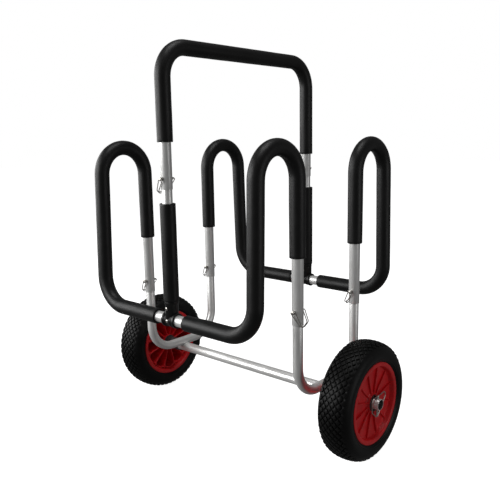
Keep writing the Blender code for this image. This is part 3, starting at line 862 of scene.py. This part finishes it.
def makeRib(size, low, high, outerHigh):
    inner, outer = size["hub"] - 0.0015, size["bead"] - 0.0015
    pickNone()
    bpy.ops.mesh.primitive_cube_add(size=1.0, location=((inner + outer) / 2, 0, (low + high) / 2),
                                    scale=(outer - inner, size["ribWidth"], high - low))
    rib = bpy.context.object
    settle(rib)
    openEdit(rib, "DESELECT")
    selectPoints(rib, lambda co: co.x > (inner + outer) / 2 and abs(co.z - high) < 1e-5)
    bpy.ops.transform.translate(value=(0, 0, outerHigh - high))
    closeEdit()
    softenEdges(rib, size["ribWidth"] / 3, 3)
    return rib


def makePetal(size, half, low):  # the rounded outer end of a pocket between two inner ribs
    near = (size["near"] * math.cos(half), -size["near"] * math.sin(half))
    widest = half * size["share"]
    petal = [(near[0], near[1], low)]
    for step in range(size["steps"] + 1):
        angle = -widest + 2 * widest * step / size["steps"]
        bulge = size["outer"] + size["bulge"] * math.cos(angle / half * math.pi / 2)
        petal.append((bulge * math.cos(angle), bulge * math.sin(angle), low))
    petal.append((near[0], -near[1], low))
    wall = openRing("petal", 3, 0.001, petal[0])
    bpy.ops.mesh.merge(type="CENTER")
    for start, end in zip(petal, petal[1:]):
        extrude(Vector(end) - Vector(start))
    bpy.ops.mesh.select_all(action="SELECT")
    extrude((0, 0, size["foot"] - low))
    closeEdit()
    mendSkin(wall)
    applyModifier(wall, "SOLIDIFY", thickness=size["wall"], offset=0.0, use_even_offset=True)
    softenEdges(wall, size["edge"], 3, 50)
    return wall


def makeRim(size):
    seat = size["flangeZ"] - size["flangeWidth"]
    flange, bead, barrel, hub = size["flange"], size["bead"], size["barrel"], size["hub"]
    profile = [
        (flange, size["flangeZ"] - 0.0012), (flange - 0.0004, size["flangeZ"] - 0.0003),
        (flange - 0.0013, size["flangeZ"]), (barrel + 0.0022, size["flangeZ"]),
        (barrel + 0.0008, size["flangeZ"] - 0.0006), (barrel - 0.0002, size["flangeZ"] - 0.0022),
        (barrel - 0.0010, 0.0268), (barrel - 0.0026, 0.0238), (barrel - 0.0060, size["webOuterZ"]),
        (0.050, 0.0223), (hub + 0.0055, size["webHubZ"] - 0.0003), (hub + 0.0018, size["webHubZ"] + 0.0009),
        (hub + 0.0003, size["webHubZ"] + 0.0030), (hub, size["hubZ"] - 0.0006), (hub - 0.0006, size["hubZ"]),
        (size["bore"], size["hubZ"]), (size["bore"], -size["hubZ"]), (hub - 0.0006, -size["hubZ"]),
        (hub, -size["hubZ"] + 0.0006), (hub + 0.0006, 0.012), (hub + 0.0030, size["webHubZ"] - size["web"]),
        (0.050, 0.0192), (barrel - 0.0060, size["webOuterZ"] - size["web"]), (barrel - 0.0014, 0.0120),
        (barrel - 0.0004, -size["flangeZ"] + 0.0030), (barrel + 0.0008, -size["flangeZ"] + 0.0006),
        (barrel + 0.0022, -size["flangeZ"]), (flange - 0.0013, -size["flangeZ"]),
        (flange - 0.0004, -size["flangeZ"] + 0.0003), (flange, -size["flangeZ"] + 0.0012),
        (flange, -seat), (bead + 0.0006, -seat), (bead, -seat + 0.0010), (bead, seat - 0.0010),
        (bead + 0.0006, seat), (flange, seat),
    ]
    rim = turnShape("rim", profile, size["sides"])
    outerRib = makeRib(size, size["outerRibFoot"], size["outerRibTop"], size["outerRibEnd"])
    innerRib = makeRib(size, -size["innerRibTop"], size["innerRibFoot"], size["innerRibFoot"])
    petal = makePetal(petalShape, math.pi / size["ribs"], petalShape["drop"] - size["innerRibTop"])
    pieces = [rim]
    for spot in range(size["ribs"]):
        turn = Matrix.Rotation(2 * math.pi * (spot + 0.5) / size["ribs"], 4, "Z")
        half = Matrix.Rotation(2 * math.pi * spot / size["ribs"], 4, "Z")
        pieces += [copyTo(outerRib, "rib", turn), copyTo(innerRib, "rib", turn), copyTo(petal, "petal", half)]
    discard(outerRib, innerRib, petal)
    rim = joinAll(pieces, "rim")
    smoothOver(rim, 38)
    return rim


# Hub stack: flanged bushes, washers and a spacer to the weld
bushShape = {"radius": 0.0151, "bore": 0.0123, "flange": 0.0185, "flangeZ": 0.0293, "flangeWidth": 0.0016,
             "length": 0.0240}
washerShape = {"bore": 0.0123, "radius": 0.0165, "z": 0.0312, "width": 0.0010}
spacerShape = {"bore": 0.0123, "wall": 0.0030, "start": -0.0750, "end": -0.0325, "edge": 0.0004,
               "waist": 0.0006, "waistHalf": 0.005, "waistSlope": 0.001}


def makeBush(size):
    top = size["flangeZ"] + size["flangeWidth"]
    profile = [(size["flange"], top - 0.0004), (size["flange"], size["flangeZ"]),
               (size["radius"], size["flangeZ"]), (size["radius"], top - size["length"]),
               (size["bore"], top - size["length"]),
               (size["bore"], top), (size["flange"] - 0.0006, top)]
    bush = turnShape("bush", profile, 48)
    smoothOver(bush, 30)
    return bush


def makeWasher(size):
    low, high = size["z"], size["z"] + size["width"]
    profile = [(size["radius"], high - 0.0002), (size["radius"], low), (size["bore"], low),
               (size["bore"], high), (size["radius"] - 0.0003, high)]
    washer = turnShape("washer", profile, 48)
    smoothOver(washer, 30)
    return washer


def makeSpacer(size):
    outer, edge, start, end = size["bore"] + size["wall"], size["edge"], size["start"], size["end"]
    middle, near = (start + end) / 2, size["waistHalf"]
    waist, far = outer - size["waist"], near + size["waistSlope"]
    profile = [(outer, end - edge), (outer, middle + far), (waist, middle + near), (waist, middle - near),
               (outer, middle - far), (outer, start + edge), (outer - edge, start), (size["bore"], start),
               (size["bore"], end), (outer - edge, end)]
    spacer = turnShape("spacer", profile, 48)
    smoothOver(spacer, 30)
    return spacer


tyre = makeTyre(tyreShape)
rim = makeRim(rimShape)
bush, washer, spacer = makeBush(bushShape), makeWasher(washerShape), makeSpacer(spacerShape)
for side, word in ((-1, "left"), (1, "right")):
    body = word + "_wheel"
    dress(copyTo(tyre, word + "Tyre", wheelMiddle(side)), tyreRubber, body, "black_tyre", word + "_tyre")
    dress(copyTo(rim, word + "Rim", faceOut(side)), rimPlastic, body, "red_plastic", word + "_rim")
    for half, place in (("outer", faceOut(side)), ("inner", faceIn(side))):
        dress(copyTo(bush, f"{word}{half.capitalize()}Bush", place), greyNylon, body, "grey_nylon",
              f"{word}_{half}_bush")
        dress(copyTo(washer, f"{word}{half.capitalize()}Washer", place), shadePaintedSteel, "frame",
              "zinc_plated_steel", f"{word}_{half}_washer")
    dress(copyTo(spacer, word + "Spacer", faceOut(side)), greyNylon, "frame", "grey_nylon",
          word + "_wheel_spacer")
discard(tyre, rim, bush, washer, spacer)
print("wheels built")


# Lock pins: local z to the head, local x the way that a leg pin's bail hangs
pinShape = {"radius": 0.0025, "head": 0.0040, "headLength": 0.0075, "legTip": 0.0072, "wheelTip": 0.0150,
            "chamfer": 0.0007, "sides": 28}
wireShape = {"radius": 0.0011, "stub": 0.0012, "hookHalf": 0.0026, "reach": 0.037, "farReach": 0.027,
             "strandHalf": 0.0022, "shoulder": 0.0060, "farShoulder": 0.0320, "bend": 0.008, "hang": 58,
             "ringGap": 0.0072, "ringDrop": 0.0300, "ringFar": 0.0460, "ringRise": 0.0050, "ringBend": 0.008}


def legPinPlace(x, y, z, swingSide=-1):
    hang = math.radians(wireShape["hang"])
    swing, head = Vector((swingSide * math.cos(hang), 0, -math.sin(hang))), Vector((0, -1, 0))
    turn = Matrix((swing, head.cross(swing), head)).transposed().to_4x4()
    return Matrix.Translation((x, y, z)) @ turn


def wheelPinPlace(side):
    return placeAt(side * layout["wheelPinX"], 0, layout["axleZ"], 0.0 if side > 0 else math.pi, "Z")


def makePin(size, name, place, tubeRadius, tip, node):
    seat = tubeRadius + restGap
    top, chamfer = seat + size["headLength"], size["chamfer"]
    head, radius = size["head"], size["radius"]
    profile = [(0.0, top), (head - chamfer * 1.4, top), (head - chamfer * 0.4, top - chamfer * 0.4),
               (head, top - chamfer * 1.4), (head, seat + 0.0012), (head - 0.0004, seat + 0.0006),
               (head - 0.0004, seat), (radius, seat), (radius, -tip + 0.0016), (radius - 0.0003, -tip + 0.0012),
               (radius * 0.72, -tip + 0.0003), (radius * 0.45, -tip), (0.0, -tip)]
    pin = turnShape(name, profile, size["sides"], closed=False)
    pin.data.transform(place)
    smoothOver(pin, 35)
    dress(pin, platedSteel, "frame", "zinc_plated_steel", node)


def makeBail(size, name, place, tubeRadius, tip, farStrand, nearStrand, bend, node):
    radius = size["radius"]
    sideStep = pinShape["head"] + restGap + radius
    small = radius + restGap
    offset = tubeRadius + restGap + pinShape["headLength"] / 2
    hook = -(offset + tip + restGap + radius)
    corners = [(0, size["stub"], 0), (0, sideStep, 0)] + farStrand
    corners += [(0, size["hookHalf"], hook), (0, -size["hookHalf"], hook)]
    corners += nearStrand[::-1] + [(0, -sideStep, 0), (0, -size["stub"], 0)]
    bends = [small] + [bend] * len(farStrand) + [small] * 2 + [bend] * len(nearStrand) + [small]
    wire = drawWire(name, corners, bends, radius, sides=12, quarterSteps=7)
    wire.data.transform(place @ Matrix.Translation((0, 0, offset)))
    dress(wire, platedSteel, node, "zinc_plated_steel", node)


def makeLegLock(word, place):  # a pin through two nested tubes, closed by a double strand of wire
    size, tube = wireShape, loopTube["radius"]
    tip = tube + pinShape["legTip"]
    makePin(pinShape, word + "Pin", place, tube, tip, word + "_pin")
    strands = [[(size["reach"], y, -size["shoulder"]), (size["farReach"], y, -size["farShoulder"])]
               for y in (size["strandHalf"], -size["strandHalf"])]
    makeBail(size, word + "Bail", place, tube, tip, strands[0], strands[1], size["bend"], word + "_bail")


def makeWheelLock(word, place):  # a pin through the axle, closed by a ring round its end
    size, tube = wireShape, axleTube["radius"]
    tip = tube + pinShape["wheelTip"]
    nearY = -(tube + size["ringGap"] + size["radius"])
    makePin(pinShape, word + "Pin", place, tube, tip, word + "_pin")
    makeBail(size, word + "Bail", place, tube, tip, [(0, size["ringFar"], size["ringRise"])],
             [(0, nearY, 0), (0, nearY, -size["ringDrop"])], size["ringBend"], word + "_bail")


for end, word in ((-1, "front"), (1, "rear")):
    for side, sideWord in ((-1, "left"), (1, "right")):
        swingSide = 1 if (word, sideWord) == ("front", "right") else -1
        place = legPinPlace(side * layout["loopX"], end * layout["legY"], layout["legPinZ"], swingSide)
        makeLegLock(f"{word}_{sideWord}_leg", place)
    makeLegLock(word + "_handle", legPinPlace(0, end * layout["armY"], layout["handlePinZ"]))
for side, word in ((-1, "left"), (1, "right")):
    makeWheelLock(word + "_wheel", wheelPinPlace(side))
print("locks closed")


# Camera, light and floor
shot = {"azimuth": 41.3, "elevation": 10.3, "roll": -1.0, "distance": 1.4706, "aim": (0.0115, 0.0, 0.4234),
        "lens": 44.13, "sensor": 36.0}


def setCamera(size):
    turn, tilt, roll = (math.radians(size[word]) for word in ("azimuth", "elevation", "roll"))
    back = Vector((math.sin(turn) * math.cos(tilt), -math.cos(turn) * math.cos(tilt), math.sin(tilt)))
    right = (-back).cross(Vector((0, 0, 1))).normalized()
    up = right.cross(-back)
    leanRight = right * math.cos(roll) + up * math.sin(roll)
    leanUp = up * math.cos(roll) - right * math.sin(roll)
    spot = Matrix((leanRight, leanUp, back)).transposed().to_4x4()
    spot.translation = Vector(size["aim"]) + back * size["distance"]
    bpy.ops.object.camera_add()
    camera = bpy.context.object
    camera.matrix_world = spot
    camera.data.lens = size["lens"]
    camera.data.sensor_width = size["sensor"]
    camera.data.clip_start = 0.01
    bpy.context.scene.camera = camera


studio = {"backdrop": 1.0, "room": 0.14, "floor": 0.50, "glow": 0.97, "floorSize": 30, "target": (0, 0, 0.4),
          "lamps": [((-1.45, -2.63, 1.30), 2.0, 92.0), ((-2.90, -0.85, 1.10), 2.0, 58.0),
                    ((2.90, 0.55, 0.50), 1.4, 13.0), ((0.20, -0.10, 3.00), 1.2, 26.0)]}


def lightStudio(size):
    for place, width, power in size["lamps"]:
        bpy.ops.object.light_add(type="AREA", location=place)
        lamp = bpy.context.object
        aim = Vector(size["target"]) - Vector(place)
        lamp.rotation_euler = aim.to_track_quat("-Z", "Y").to_euler()
        lamp.data.size = width
        lamp.data.energy = power
    world = bpy.data.worlds.new("paleRoom")
    world.use_nodes = True
    tree = world.node_tree
    room, output = tree.nodes["Background"], tree.nodes["World Output"]
    backdrop, sight, mix = (tree.nodes.new(kind) for kind in
                            ("ShaderNodeBackground", "ShaderNodeLightPath", "ShaderNodeMixShader"))
    for light, strength in ((room, size["room"]), (backdrop, size["backdrop"])):
        light.inputs["Color"].default_value = (1, 1, 1, 1)
        light.inputs["Strength"].default_value = strength
    tree.links.new(sight.outputs["Is Camera Ray"], mix.inputs[0])  # the white sweep shows, the room lights less
    tree.links.new(room.outputs[0], mix.inputs[1])
    tree.links.new(backdrop.outputs[0], mix.inputs[2])
    tree.links.new(mix.outputs[0], output.inputs["Surface"])
    bpy.context.scene.world = world
    bpy.context.scene.view_settings.view_transform = "Standard"
    pickNone()
    bpy.ops.mesh.primitive_plane_add(size=size["floorSize"], location=(0, 0, 0))
    floor = bpy.context.object
    floor.name = "floor"
    bench = FinishBench("paleFloor")
    soft = bench.noise(bench.place(), 3.0, 2.0)
    glow = {"Emission Color": (1, 1, 1, 1), "Emission Strength": size["glow"]}
    floor.data.materials.append(bench.finish(tone(size["floor"]), 0.6 + soft * 0.1, glow))
    # the floor shows, but the metal mirrors the room instead
    floor.visible_diffuse = floor.visible_glossy = False


setCamera(shot)
lightStudio(studio)
print("studio lit")
